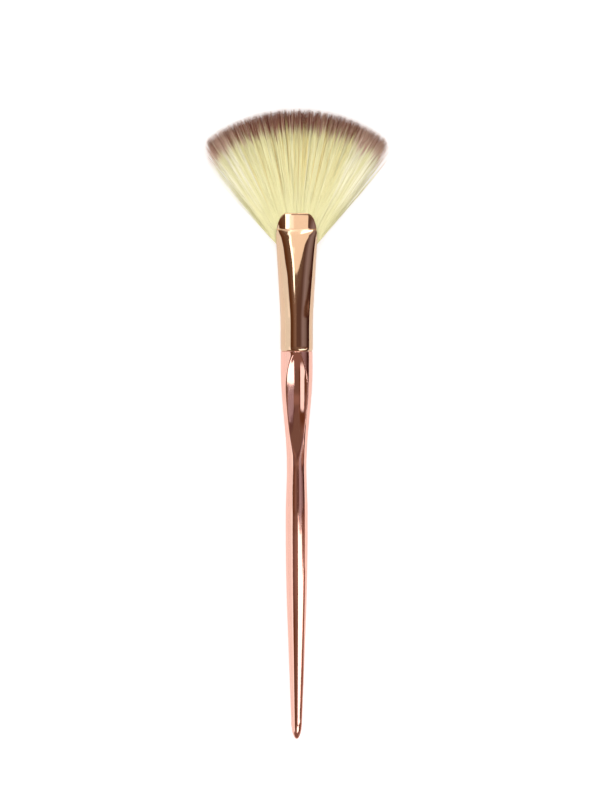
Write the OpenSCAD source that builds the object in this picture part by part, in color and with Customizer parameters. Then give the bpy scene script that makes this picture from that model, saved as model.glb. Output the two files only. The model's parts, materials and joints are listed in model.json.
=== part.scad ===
// Highlighter brush: a plated handle with a scooped grip, a tube ferrule that is
// pressed flat at its mouth, and a flat fan of bristles with darker tips.
// Every piece is first drawn about its own axis: z = 0 is the joint between the
// handle and the ferrule, +z runs towards the fan and -y is the front.
// lay_down() then puts the whole brush on its back, fan towards +Y and front up.
// All sizes are in millimetres.

/* [Handle] */
// Length of the handle from the joint to its tip
handle_length = 116.7; // [104:0.1:150]
// How far the collar stands in from the ferrule's outer face
collar_step = 0.09; // [0.05:0.01:0.6]
// Rounding of the collar's top edge
collar_round = 0.3; // [0.1:0.05:0.8]
// Length of the straight collar under the joint
collar_length = 5; // [2:0.5:10]
// Radius of the slim waist
waist_r = 2.95; // [2.4:0.05:3.2]
// Distance of the waist from the joint
waist_at = 35; // [28:0.5:42]
// Radius of the belly below the waist
belly_r = 3.3; // [3.2:0.05:3.8]
// Distance from the joint at which the belly is reached
belly_from = 49; // [46:0.5:52]
// Distance from the joint at which the belly ends
belly_to = 54; // [53:0.5:58]
// Distance from the joint at which the straight taper would meet the belly
taper_turn = 67; // [62:0.5:76]
// Radius of the handle where the rounded nose starts
nose_r = 1.65; // [1.2:0.05:2]
// Length of the rounded nose
nose_length = 5.7; // [3:0.1:8]
// Length of the tenon that fills the ferrule's lower end
tenon_length = 7.5; // [4:0.1:8]
// Chamfer on the tenon's end
tenon_chamfer = 0.5; // [0.2:0.1:1]

/* [Scoop] */
// Distance of the scoop's deepest place from the joint
scoop_at = 21; // [17:0.5:24]
// Half of the thickness that is left between the front and back scoops
scoop_floor = 1.8; // [1.4:0.05:2.4]
// Radius of the scoop along the handle
scoop_long_r = 100; // [80:1:130]
// Radius of the scoop across the handle
scoop_cross_r = 5.5; // [4.5:0.1:9]

/* [Ferrule] */
// Outer radius of the ferrule's round tube
ferrule_r = 4.88; // [4.6:0.01:5.3]
// Wall of the tube
ferrule_wall = 0.4; // [0.3:0.05:0.5]
// Length of the ferrule from the joint to the middle of its lip
ferrule_length = 41.3; // [39:0.1:46]
// How far the rolled rim turns in
rim_depth = 0.28; // [0.1:0.02:0.36]
// Height of the rolled rim
rim_height = 0.6; // [0.3:0.05:1]
// Distance from the joint at which the tube starts to flatten
flat_from = 10; // [9:0.5:14]
// Distance of the pressed crease from the joint
crease_at = 36.4; // [35:0.1:38]
// Half of the thickness at the crease
crease_half = 2.2; // [2:0.05:2.6]
// Half of the thickness at the lip
lip_half = 1.6; // [1.4:0.05:1.9]
// Half of the width of the lip's straight edge
lip_edge_half = 3.3; // [2.6:0.1:3.8]
// Distance of the side openings' low point from the joint
mouth_side = 32.4; // [31.5:0.1:33]

/* [Bristle fan] */
// How far above the side openings' low point the fan's edges leave the ferrule
spill_rise = 1.6; // [1.2:0.1:2.2]
// Length of the bristles from the point that they spread from to their tips
fan_r = 45; // [38:0.5:56]
// Half of the angle that the fan opens to
fan_half_angle = 41.5; // [36:0.5:43]
// Radius of the round root bundle
root_r = 4; // [3.4:0.05:4.05]
// How far the bundle's width stays clear of the tube's sides before the mouth
root_ease = 1; // [0.8:0.05:1.6]
// Half of the fan's thickness at its middle
fan_half = 1.45; // [1.2:0.05:2]
// Half of the fan's thickness at its tips
tip_half = 1.05; // [0.8:0.05:1.6]
// How far the outermost tips are drawn back at the fan's corners
corner_drop = 3.5; // [2:0.5:6]
// Number of locks across the fan
lock_count = 36; // [24:1:40]
// Depth of the grooves between locks, as a share of the thickness
groove_share = 0.16; // [0.05:0.01:0.25]
// Largest difference in length between locks
lock_jag = 0.6; // [0.2:0.1:1.2]
// Depth of the notches between the locks' tips
lock_notch = 0.8; // [0.2:0.1:1.5]

/* [Glue] */
// Thickness of the glue under the bristle roots
glue_floor = 0.9; // [0.6:0.1:1.2]

/* [Fit] */
// Clearance between neighbouring pieces
fit_gap = 0.05; // [0.03:0.01:0.1]

/* [Hidden] */

rose_gold = [0.86, 0.62, 0.54];
champagne = [0.90, 0.74, 0.60];
pale_yellow = [0.94, 0.90, 0.70];
amber = [0.72, 0.60, 0.38];

// Faces of the round pieces
$fn = 96;
// Straight steps along each curve of the handle's outline
ease_steps = 14;
// Straight steps in a small round edge
edge_steps = 5;
// Columns round the flattened part of the ferrule, a multiple of 4
skin_columns = 64;
// Rows of the ferrule's skin below and above the crease
skin_rows = 12;
lip_rows = 4;
// Columns across one lock
lock_columns = 3;
// How far the flattened skin stays inside the tube's wall where the two join
seam_inset = 0.01;
// Halvings that find where a column of the skin meets the mouth's edge
halvings = 24;
// How far the fan's face stays inside the ferrule's wall where its edges leave
spill_clear = 0.35;
// Share of the fan's half width at which its corners start, and how sharply they turn
corner_share = 0.86;
corner_power = 2.5;
// Turn between the lengths of neighbouring locks, so that none repeats
lock_angle = 137.5;

tube_inner_r = ferrule_r - ferrule_wall;
tenon_r = tube_inner_r - fit_gap;
collar_r = ferrule_r - collar_step;
nose_from = handle_length - nose_length;
taper_blend = taper_turn - belly_to;

// Smooth step from 0 to 1
function ease(t) = (1 - cos(180 * t)) / 2;
function mix(a, b, t) = a + (b - a) * t;
function clamp(v, low, high) = max(low, min(high, v));

// Handle

// Radius of the straight taper at a distance d below the joint
function taper_r(d) = mix(belly_r, nose_r, (d - taper_turn) / (nose_from - taper_turn));

// Point of a smooth bend through three points
function bend(p, q, r, t) = (1 - t) * (1 - t) * p + 2 * t * (1 - t) * q + t * t * r;

collar_edge = [
    for (i = [0:edge_steps])
        let (a = 90 * i / edge_steps)
        [collar_r - collar_round * (1 - sin(a)), -collar_round * (1 - cos(a))]
];
shoulder_curve = [
    for (i = [0:ease_steps])
        let (t = i / ease_steps)
        [mix(collar_r, waist_r, ease(t)), -mix(collar_length, waist_at, t)]
];
belly_curve = [
    for (i = [1:ease_steps])
        let (t = i / ease_steps)
        [mix(waist_r, belly_r, ease(t)), -mix(waist_at, belly_from, t)]
];
taper_end = taper_turn + taper_blend;
taper_curve = [
    for (i = [0:ease_steps / 2])
        bend(
            [belly_r, -belly_to],
            [belly_r, -taper_turn],
            [taper_r(taper_end), -taper_end],
            2 * i / ease_steps
        )
];
nose_curve = [
    for (i = [0:ease_steps - 1])
        let (a = 90 * i / ease_steps)
        [nose_r * cos(a), -nose_from - nose_length * sin(a)]
];
handle_outline = concat(
    [[0, 0]], collar_edge, shoulder_curve, belly_curve, taper_curve, nose_curve,
    [[0, -handle_length]]
);

module scoop() {
    // A wheel with a rounded rim, its axle across the handle
    translate([0, -scoop_floor - scoop_long_r, -scoop_at])
        rotate([0, 90, 0])
            rotate_extrude($fn = 240)
                translate([scoop_long_r - scoop_cross_r, 0])
                    circle(r = scoop_cross_r);
}

module handle_body() {
    difference() {
        rotate_extrude() polygon(handle_outline);
        scoop();
        mirror([0, 1, 0]) scoop();
    }
}

module tenon() {
    rotate_extrude() polygon([
        [0, -collar_round],
        [tenon_r - tenon_chamfer, -collar_round],
        [tenon_r, 0],
        [tenon_r, tenon_length - tenon_chamfer],
        [tenon_r - tenon_chamfer, tenon_length],
        [0, tenon_length]
    ]);
}

module handle() {
    color(rose_gold)
        lay_down()
            union() {
                handle_body();
                tenon();
            }
}

// Ferrule

// Half of the thickness at height z: round tube, pressed cone, pinched lip
function half_thick(z) =
    z <= flat_from ? ferrule_r
    : z <= crease_at ? mix(ferrule_r, crease_half, (z - flat_from) / (crease_at - flat_from))
    : mix(crease_half, lip_half, (z - crease_at) / (ferrule_length - crease_at));

// Half of the flat at height z. Pressing the tube keeps the length round it.
function half_flat(z) = (ferrule_r - half_thick(z)) * PI / 2;
function half_width(z) = half_flat(z) + half_thick(z);

// Point of a quarter of the section, from the side (q = 0) to the front (q = 1),
// that lies inset inside the outer face
function quarter_point(q, z, inset) =
    let (
        r = half_thick(z),
        a = half_flat(z),
        arc = r * PI / 2,
        run = q * (a + arc),
        angle = 90 * run / arc
    )
    run < arc
        ? [a + (r - inset) * cos(angle), (r - inset) * sin(angle)]
        : [a + arc - run, r - inset];

// Where a column lies in its quarter, and the signs that put it there
function column_q(k) =
    let (s = 4 * k / skin_columns, part = s % 2)
    part <= 1 ? part : 2 - part;
function column_sign(k) = [
    k <= skin_columns / 4 || k >= skin_columns * 3 / 4 ? 1 : -1,
    k <= skin_columns / 2 ? 1 : -1
];
function skin_point(k, z, inset) =
    let (p = quarter_point(column_q(k), z, inset), s = column_sign(k))
    [s[0] * p[0], s[1] * p[1], z];

// Height of the mouth's edge at a distance x from the middle: a straight lip with
// round shoulders that run down into the side openings
function mouth_z(x) =
    let (u = clamp((x - lip_edge_half) / (half_width(mouth_side) - lip_edge_half), 0, 1))
    mouth_side + (ferrule_length - mouth_side) * sqrt(1 - u * u);

// Height at which a column meets the mouth's edge, found by halving
function column_top(q, low, high, turns) =
    let (z = (low + high) / 2)
    turns == 0 ? z
    : z < mouth_z(quarter_point(q, z, 0)[0]) ? column_top(q, z, high, turns - 1)
    : column_top(q, low, z, turns - 1);

column_tops = [
    for (k = [0:skin_columns - 1]) column_top(column_q(k), mouth_side, ferrule_length, halvings)
];

// Height of row i on a column that ends at height top
function row_z(i, top) =
    let (knot = mix(flat_from, top, (crease_at - flat_from) / (ferrule_length - flat_from)))
    i <= skin_rows
        ? mix(flat_from, knot, i / skin_rows)
        : mix(knot, top, (i - skin_rows) / lip_rows);

module pressed_skin() {
    rows = skin_rows + lip_rows + 1;
    cols = skin_columns;
    outer_points = [
        for (i = [0:rows - 1]) for (k = [0:cols - 1])
            skin_point(k, row_z(i, column_tops[k]), seam_inset)
    ];
    inner_points = [
        for (i = [0:rows - 1]) for (k = [0:cols - 1])
            skin_point(k, row_z(i, column_tops[k]), ferrule_wall - seam_inset)
    ];
    inner = rows * cols;
    last = (rows - 1) * cols;
    outer_faces = [
        for (i = [0:rows - 2]) for (k = [0:cols - 1])
            let (a = i * cols + k, b = i * cols + (k + 1) % cols)
            each [[a, a + cols, b], [b, a + cols, b + cols]]
    ];
    inner_faces = [
        for (f = outer_faces) [f[2] + inner, f[1] + inner, f[0] + inner]
    ];
    foot_faces = [
        for (k = [0:cols - 1])
            let (a = k, b = (k + 1) % cols)
            each [[a, b, a + inner], [b, b + inner, a + inner]]
    ];
    edge_faces = [
        for (k = [0:cols - 1])
            let (a = last + k, b = last + (k + 1) % cols)
            each [[b, a, a + inner], [b, a + inner, b + inner]]
    ];
    polyhedron(
        points = concat(outer_points, inner_points),
        faces = concat(outer_faces, inner_faces, foot_faces, edge_faces)
    );
}

rim_edge = [
    for (i = [0:edge_steps])
        let (a = 90 * i / edge_steps)
        [ferrule_r - rim_depth * (1 - sin(a)), fit_gap + rim_height * (1 - cos(a))]
];

module round_tube() {
    rotate_extrude() polygon(concat(
        rim_edge,
        [[ferrule_r, flat_from], [tube_inner_r, flat_from], [tube_inner_r, fit_gap]]
    ));
}

module ferrule() {
    color(champagne)
        lay_down()
            union() {
                round_tube();
                pressed_skin();
            }
}

// Glue

glue_foot = tenon_length + fit_gap;
root_z = glue_foot + glue_floor + fit_gap;

module glue_plug() {
    color(amber)
        lay_down()
            difference() {
                translate([0, 0, glue_foot])
                    cylinder(r = tube_inner_r - fit_gap, h = flat_from - glue_foot);
                translate([0, 0, root_z - fit_gap])
                    cylinder(r = root_r + fit_gap, h = flat_from);
            }
}

// Bristle fan

fan_columns = lock_count * lock_columns;
// Height of the point that the bristles spread from
fan_apex = mouth_side + spill_rise - half_width(mouth_side) / tan(fan_half_angle);
lip_rho = ferrule_length - fan_apex;
spill_rho = half_width(mouth_side) / sin(fan_half_angle);
bend_z = mouth_side - root_ease;
bend_half_width = (mouth_side - fan_apex) * tan(fan_half_angle);

// Rows inside the ferrule, as heights
root_rows = [root_z, flat_from, mix(flat_from, bend_z, 0.3), mix(flat_from, bend_z, 0.65), bend_z];

// Rows outside, as distances from the point that the bristles spread from, each
// with half of the fan's thickness there
spill_half = crease_half - ferrule_wall - spill_clear;
lip_inner_half = lip_half - ferrule_wall - 2 * fit_gap;
fan_rows = [
    [spill_rho, spill_half],
    [lip_rho, lip_inner_half],
    [mix(lip_rho, fan_r, 0.2), mix(lip_inner_half, fan_half, 0.6)],
    [mix(lip_rho, fan_r, 0.45), fan_half],
    [mix(lip_rho, fan_r, 0.7), fan_half],
    [mix(lip_rho, fan_r, 0.88), mix(fan_half, tip_half, 0.4)],
    [fan_r, tip_half]
];

// Half of the bundle's width and thickness inside the ferrule
function root_half_width(z) =
    z <= flat_from ? root_r
    : mix(root_r, bend_half_width, (z - flat_from) / (bend_z - flat_from));
function root_half_thick(z) = min(root_r, half_thick(z) - ferrule_wall - fit_gap);

// How far the tips are drawn back towards the fan's corners, u = -1 to 1 across
function corner(u) =
    corner_drop * pow(max(0, (abs(u) - corner_share) / (1 - corner_share)), corner_power);

// Difference in length of the lock that column j lies in, and the notches beside it
function jag(j) =
    lock_jag * abs(sin(lock_angle * floor(j / lock_columns)))
    + (j % lock_columns == 0 ? lock_notch : 0);

// Share of the thickness that is left at column j, for a row that lies out at rho
function groove(j, rho) =
    j % lock_columns == 0 ? 1 - groove_share * clamp((rho - lip_rho) / lip_rho, 0, 1) : 1;

// Point of column j on row i, on the front (side = -1) or the back (side = 1)
function root_point(i, j, side) =
    let (u = 2 * j / fan_columns - 1, z = root_rows[i])
    [root_half_width(z) * sin(90 * u), side * root_half_thick(z) * cos(90 * u), z];
function fan_point(i, j, side) =
    let (
        u = 2 * j / fan_columns - 1,
        row = fan_rows[i],
        tip = i == len(fan_rows) - 1 ? jag(j) : 0,
        rho = row[0] - corner(u) * pow(row[0] / fan_r, 3) - tip,
        angle = u * fan_half_angle
    )
    [rho * sin(angle), side * row[1] * cos(90 * u) * groove(j, rho), fan_apex + rho * cos(angle)];

module bristle_tuft() {
    n = fan_columns;
    ring = 2 * n;
    rows = len(root_rows) + len(fan_rows);
    tuft_points = [
        for (i = [0:rows - 1]) for (m = [0:ring - 1])
            let (j = m <= n ? m : ring - m, side = m <= n ? -1 : 1)
            i < len(root_rows) ? root_point(i, j, side) : fan_point(i - len(root_rows), j, side)
    ];
    last = (rows - 1) * ring;
    wall_faces = [
        for (i = [0:rows - 2]) for (m = [0:ring - 1])
            let (a = i * ring + m, b = i * ring + (m + 1) % ring)
            each [[a, a + ring, b], [b, a + ring, b + ring]]
    ];
    root_faces = [for (m = [0:ring - 1]) [m, (m + 1) % ring, rows * ring]];
    tip_faces = concat(
        [for (j = [1:n - 1]) [last + j, last + ring - j, last + j + 1]],
        [for (j = [0:n - 2]) [last + j + 1, last + (ring - j) % ring, last + ring - j - 1]]
    );
    polyhedron(
        points = concat(tuft_points, [[0, 0, root_z]]),
        faces = concat(wall_faces, root_faces, tip_faces)
    );
}

module bristle_fan() {
    color(pale_yellow)
        lay_down()
            bristle_tuft();
}

// Laying down

contact_z = fit_gap + rim_height;
rest_tilt = min([
    for (p = handle_outline)
        if (p[1] < -waist_at) atan((ferrule_r - p[0]) / (contact_z - p[1]))
]);
rest_height = ferrule_r * cos(rest_tilt) - contact_z * sin(rest_tilt);
middle_shift = (handle_length - fan_apex - fan_r) / 2 * cos(rest_tilt);

module lay_down() {
    translate([0, middle_shift, rest_height])
        rotate([rest_tilt, 0, 0])
            rotate([-90, 0, 0])
                children();
}

handle();
ferrule();
bristle_fan();
glue_plug();
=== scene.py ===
# Highlighter brush: a fan of soft bristles in a tube ferrule, on a scooped and tapering handle.
# It lies on its back on a white table and is seen from straight above.
import json
import math

import bpy
import numpy as np
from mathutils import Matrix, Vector


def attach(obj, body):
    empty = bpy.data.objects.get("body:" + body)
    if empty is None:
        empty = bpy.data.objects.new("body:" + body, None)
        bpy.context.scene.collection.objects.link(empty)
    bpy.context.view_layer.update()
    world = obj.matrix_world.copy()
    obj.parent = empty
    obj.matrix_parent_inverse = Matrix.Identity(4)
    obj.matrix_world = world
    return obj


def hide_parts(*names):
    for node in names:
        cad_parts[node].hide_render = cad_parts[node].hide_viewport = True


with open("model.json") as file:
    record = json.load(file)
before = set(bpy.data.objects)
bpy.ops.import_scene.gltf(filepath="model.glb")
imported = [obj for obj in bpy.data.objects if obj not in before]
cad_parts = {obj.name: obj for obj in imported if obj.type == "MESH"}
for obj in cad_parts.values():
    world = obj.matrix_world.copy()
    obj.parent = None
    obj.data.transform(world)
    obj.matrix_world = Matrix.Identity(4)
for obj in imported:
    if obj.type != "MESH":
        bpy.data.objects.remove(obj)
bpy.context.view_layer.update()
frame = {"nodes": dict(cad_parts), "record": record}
print("packed frame loaded")


# Sizes are in millimetres along the brush's own axes: x across it, s from the joint of handle and
# ferrule towards the fan, and h up out of its front.
mm = 0.001
mountMiddle = 5.325  # from the joint to the middle of the ferrule's round mount

mount = frame["record"]["mounts"][0]
alongAxis = -np.array(mount["axis"])
alongAxis /= np.linalg.norm(alongAxis)
acrossAxis = np.array([1.0, 0.0, 0.0])
frontAxis = np.cross(acrossAxis, alongAxis)
brushAxes = np.stack([acrossAxis, alongAxis, frontAxis])
jointPoint = np.array(mount["pos_m"]) - alongAxis * mountMiddle * mm


def toRow(points):
    return jointPoint + points @ brushAxes * mm


def smoothStep(low, high, value):
    t = np.clip((value - low) / (high - low), 0, 1)
    return t * t * (3 - 2 * t)


def halve(low, high, isBelow, steps=40):
    # the places between low and high where isBelow turns from true to false
    for step in range(steps):
        middle = (low + high) / 2
        below = isBelow(middle)
        low = np.where(below, middle, low)
        high = np.where(below, high, middle)
    return (low + high) / 2


# Meshes

def buildMesh(name, points, corners, sizes, material):
    # corners lists each face's vertices one after another, and sizes how many each face has
    mesh = bpy.data.meshes.new(name)
    mesh.vertices.add(len(points))
    mesh.vertices.foreach_set("co", points.astype(np.float32).ravel())
    mesh.loops.add(len(corners))
    mesh.loops.foreach_set("vertex_index", corners.astype(np.int32))
    mesh.polygons.add(len(sizes))
    starts = np.concatenate([[0], np.cumsum(sizes)[:-1]])
    mesh.polygons.foreach_set("loop_start", starts.astype(np.int32))
    mesh.update(calc_edges=True)
    mesh.polygons.foreach_set("use_smooth", np.ones(len(sizes), bool))
    mesh.materials.append(material)
    piece = bpy.data.objects.new(name, mesh)
    bpy.context.scene.collection.objects.link(piece)
    return piece


def ringFaces(rows, columns, closed):
    # quads between rings of points, and from the last ring to the first where the piece is closed
    count = rows if closed else rows - 1
    r, c = np.meshgrid(np.arange(count), np.arange(columns), indexing="ij")
    rNext = (r + 1) % rows
    cNext = (c + 1) % columns
    here = r * columns
    after = rNext * columns
    quads = np.stack([here + c, here + cNext, after + cNext, after + c], -1)
    return quads.reshape(-1, 4)


def capFaces(ringStart, columns, centre, outward):
    c = np.arange(columns)
    cNext = (c + 1) % columns
    triangles = np.stack([np.full(columns, centre), ringStart + c, ringStart + cNext], -1)
    return triangles if outward else triangles[:, ::-1]


# Materials

def newMaterial(name, metallic, roughness):
    material = bpy.data.materials.new(name)
    material.use_nodes = True
    shader = material.node_tree.nodes["Principled BSDF"]
    shader.inputs["Metallic"].default_value = metallic
    shader.inputs["Roughness"].default_value = roughness
    return material, material.node_tree, shader


def addNode(tree, kind, **settings):
    node = tree.nodes.new(kind)
    for key, value in settings.items():
        setattr(node, key, value)
    return node


def fillRamp(ramp, stops):
    elements = ramp.color_ramp.elements
    while len(elements) > 1:
        elements.remove(elements[-1])
    elements[0].position = stops[0][0]
    elements[0].color = (*stops[0][1], 1)
    for position, colour in stops[1:]:
        element = elements.new(position)
        element.color = (*colour, 1)


def feed(tree, socket, value):
    # a colour, a number, or another node's output
    if isinstance(value, tuple):
        socket.default_value = (*value, 1)
    elif isinstance(value, (int, float)):
        socket.default_value = value
    else:
        tree.links.new(value, socket)


def addMath(tree, operation, first, second):
    node = addNode(tree, "ShaderNodeMath", operation=operation)
    feed(tree, node.inputs[0], first)
    feed(tree, node.inputs[1], second)
    return node.outputs[0]


def addNoise(tree, coordinates, scale, detail, stretch=(1, 1, 1)):
    mapping = addNode(tree, "ShaderNodeMapping")
    mapping.inputs["Scale"].default_value = stretch
    tree.links.new(coordinates, mapping.inputs["Vector"])
    noise = addNode(tree, "ShaderNodeTexNoise")
    noise.inputs["Scale"].default_value = scale
    noise.inputs["Detail"].default_value = detail
    tree.links.new(mapping.outputs[0], noise.inputs["Vector"])
    return noise.outputs["Fac"]


def addRange(tree, value, low, high, newLow, newHigh):
    node = addNode(tree, "ShaderNodeMapRange")
    tree.links.new(value, node.inputs["Value"])
    node.inputs["From Min"].default_value = low
    node.inputs["From Max"].default_value = high
    node.inputs["To Min"].default_value = newLow
    node.inputs["To Max"].default_value = newHigh
    return node.outputs["Result"]


def mixColours(tree, factor, first, second):
    # the node's sockets 0, 6 and 7 are its factor and its two colours, and output 2 is their mix
    node = addNode(tree, "ShaderNodeMix", data_type="RGBA")
    for index, value in ((0, factor), (6, first), (7, second)):
        feed(tree, node.inputs[index], value)
    return node.outputs[2]


def addBump(tree, shader, height, strength, depth):
    bump = addNode(tree, "ShaderNodeBump")
    bump.inputs["Strength"].default_value = strength
    bump.inputs["Distance"].default_value = depth
    tree.links.new(height, bump.inputs["Height"])
    tree.links.new(bump.outputs[0], shader.inputs["Normal"])


# the parts of a noise's range that are spread over a material's own range
noiseRanges = {
    "colour": (0.35, 0.65),
    "roughness": (0.3, 0.7),
    "hairlines": (0.6, 0.75),
}


def platedMetal(name, values):
    # polished plating: even colour, faint cloudiness, fine ripple and hairlines along the brush;
    # its noises are so many to a metre, and the ripple's depth is in metres
    material, tree, shader = newMaterial(name, 1.0, values["roughness"])
    place = addNode(tree, "ShaderNodeTexCoord").outputs["Object"]
    cloud = addNoise(tree, place, values["cloudScale"], 3)
    hairlines = addNoise(tree, place, values["hairScale"], 2, (1, values["hairStretch"], 1))
    cloudiness = addRange(tree, cloud, *noiseRanges["colour"], 0, 1)
    colour = mixColours(tree, cloudiness, values["colour"], values["cloudColour"])
    tree.links.new(colour, shader.inputs["Base Color"])
    roughest = values["roughness"] + values["roughCloud"]
    rough = addMath(
        tree,
        "ADD",
        addRange(tree, cloud, *noiseRanges["roughness"], values["roughness"], roughest),
        addRange(tree, hairlines, *noiseRanges["hairlines"], 0, values["roughHair"]),
    )
    tree.links.new(rough, shader.inputs["Roughness"])
    ripple = addNoise(tree, place, values["rippleScale"], 2, (1, values["rippleStretch"], 1))
    addBump(tree, shader, ripple, values["rippleStrength"], values["rippleDepth"])
    return material


# Handle

handle = {
    "collarRadius": 4.79,
    "collarLength": 5.0,
    "collarRound": 0.3,
    "waistRadius": 2.95,
    "waistAt": 35.0,
    "bellyRadius": 3.3,
    "bellyFrom": 49.0,
    "bellyTo": 54.0,
    "taperTurn": 67.0,
    "noseRadius": 1.65,
    "noseLength": 5.7,
    "length": 116.7,
    "tenonRadius": 4.43,
    "tenonLength": 7.5,
    "tenonChamfer": 0.5,
    "scoopAt": 17.0,  # where the scoop is deepest
    "scoopFloor": 2.15,
    "scoopRise": 0.0070,  # how fast its floor rises towards the joint
    "scoopHook": 6e-7,  # and how it hooks up at that end
    "scoopTailBend": 3.0,  # its other end bends over this length, then runs straight
    "scoopTailSlope": 0.065,
    "scoopFlat": 0.55,  # half width of the scoop's level middle
    "scoopWallFrom": 1.15,  # where its wall has its full slope
    "scoopWallSlope": 0.43,
    "scoopWallTo": 2.25,  # from here the wall levels out towards the scoop's border
    "scoopWallEase": 0.75,  # over this length
    "scoopBorderShare": 0.15,  # down to this share of its slope
    "scoopBorderFrom": 3.5,  # the levelling sets in between these two
    "scoopBorderTo": 9.0,
    "scoopTailWall": 0.08,  # its wall's slope past the middle
    "scoopTailWallFrom": 16.0,  # which it gets between these two
    "scoopTailWallTo": 27.0,
    "scoopSoftness": 0.2,
    "scoopRowsPast": 8.0,  # how far past the waist the rows stay as close as over the scoop
    "columns": 288,
    "roundRows": 5,
    "scoopRowGap": 0.22,
    "shankRowGap": 0.8,
    "noseRows": 22,
}

handlePlating = {
    "colour": (0.956, 0.565, 0.468),
    "cloudColour": (0.94, 0.545, 0.45),
    "cloudScale": 160,
    "roughness": 0.07,
    "roughCloud": 0.03,
    "roughHair": 0.03,
    "hairScale": 900,
    "hairStretch": 0.04,
    "rippleScale": 700,
    "rippleStretch": 0.35,
    "rippleStrength": 0.06,
    "rippleDepth": 0.0002,
}


def cosineEase(t):
    return (1 - np.cos(np.pi * np.clip(t, 0, 1))) / 2


def handleRadius(d):
    # radius of the turned handle at distance d below the joint
    v = handle
    tailFrom = v["length"] - v["noseLength"]
    slope = (v["bellyRadius"] - v["noseRadius"]) / (tailFrom - v["taperTurn"])
    bendTo = 2 * v["taperTurn"] - v["bellyTo"]
    radius = v["collarRadius"] + (v["waistRadius"] - v["collarRadius"]) * cosineEase(
        (d - v["collarLength"]) / (v["waistAt"] - v["collarLength"])
    )
    radius += (v["bellyRadius"] - v["waistRadius"]) * cosineEase(
        (d - v["waistAt"]) / (v["bellyFrom"] - v["waistAt"])
    )
    bend = np.clip((d - v["bellyTo"]) / (bendTo - v["bellyTo"]), 0, 1)
    radius -= bend**2 * slope * (bendTo - v["taperTurn"])
    radius -= slope * np.maximum(0, d - bendTo)
    inCollarRound = np.clip(v["collarRound"] - d, 0, v["collarRound"])
    radius -= v["collarRound"] - np.sqrt(v["collarRound"] ** 2 - inCollarRound**2)
    return radius


def scoopHeight(x, d):
    # height of the scoop's surface over the brush's axis
    v = handle
    up = np.maximum(0, v["scoopAt"] - d)
    down = np.maximum(0, d - v["scoopAt"])
    floor = v["scoopFloor"] + v["scoopRise"] * up**2 + v["scoopHook"] * up**5
    bent = np.minimum(down, v["scoopTailBend"])
    floor += v["scoopTailSlope"] * (bent**2 / (2 * v["scoopTailBend"]) + down - bent)
    across = np.abs(x)
    bend = v["scoopWallFrom"] - v["scoopFlat"]
    inBend = np.clip(across - v["scoopFlat"], 0, bend)
    onWall = np.maximum(0, across - v["scoopWallFrom"])
    easing = np.clip(across - v["scoopWallTo"], 0, v["scoopWallEase"])
    onBorder = np.maximum(0, across - v["scoopWallTo"] - v["scoopWallEase"])
    level = (1 - v["scoopBorderShare"]) * smoothStep(v["scoopBorderFrom"], v["scoopBorderTo"], d)
    lost = level * (easing**2 / (2 * v["scoopWallEase"]) + onBorder)
    wall = inBend**2 / (2 * bend) + onWall - lost
    onTail = smoothStep(v["scoopTailWallFrom"], v["scoopTailWallTo"], d)
    slope = v["scoopWallSlope"] + (v["scoopTailWall"] - v["scoopWallSlope"]) * onTail
    return floor + slope * wall


def scoopedRadius(body, d, angle):
    # radius where a ray at each angle leaves the body or meets a scoop, with the edge between them eased
    v = handle
    facing = math.cos(math.atan(v["scoopWallSlope"] / 2))
    softness = v["scoopSoftness"]

    def isInside(r):
        outOfBody = r - body
        intoScoop = (np.abs(r * np.cos(angle)) - scoopHeight(r * np.sin(angle), d)) * facing
        near = np.maximum(0, softness - np.abs(outOfBody - intoScoop))
        return np.maximum(outOfBody, intoScoop) + near**2 / (4 * softness) < 0

    outside = body * 1.05  # a little past the turned surface
    return halve(np.zeros_like(body), outside, isInside)


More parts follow.
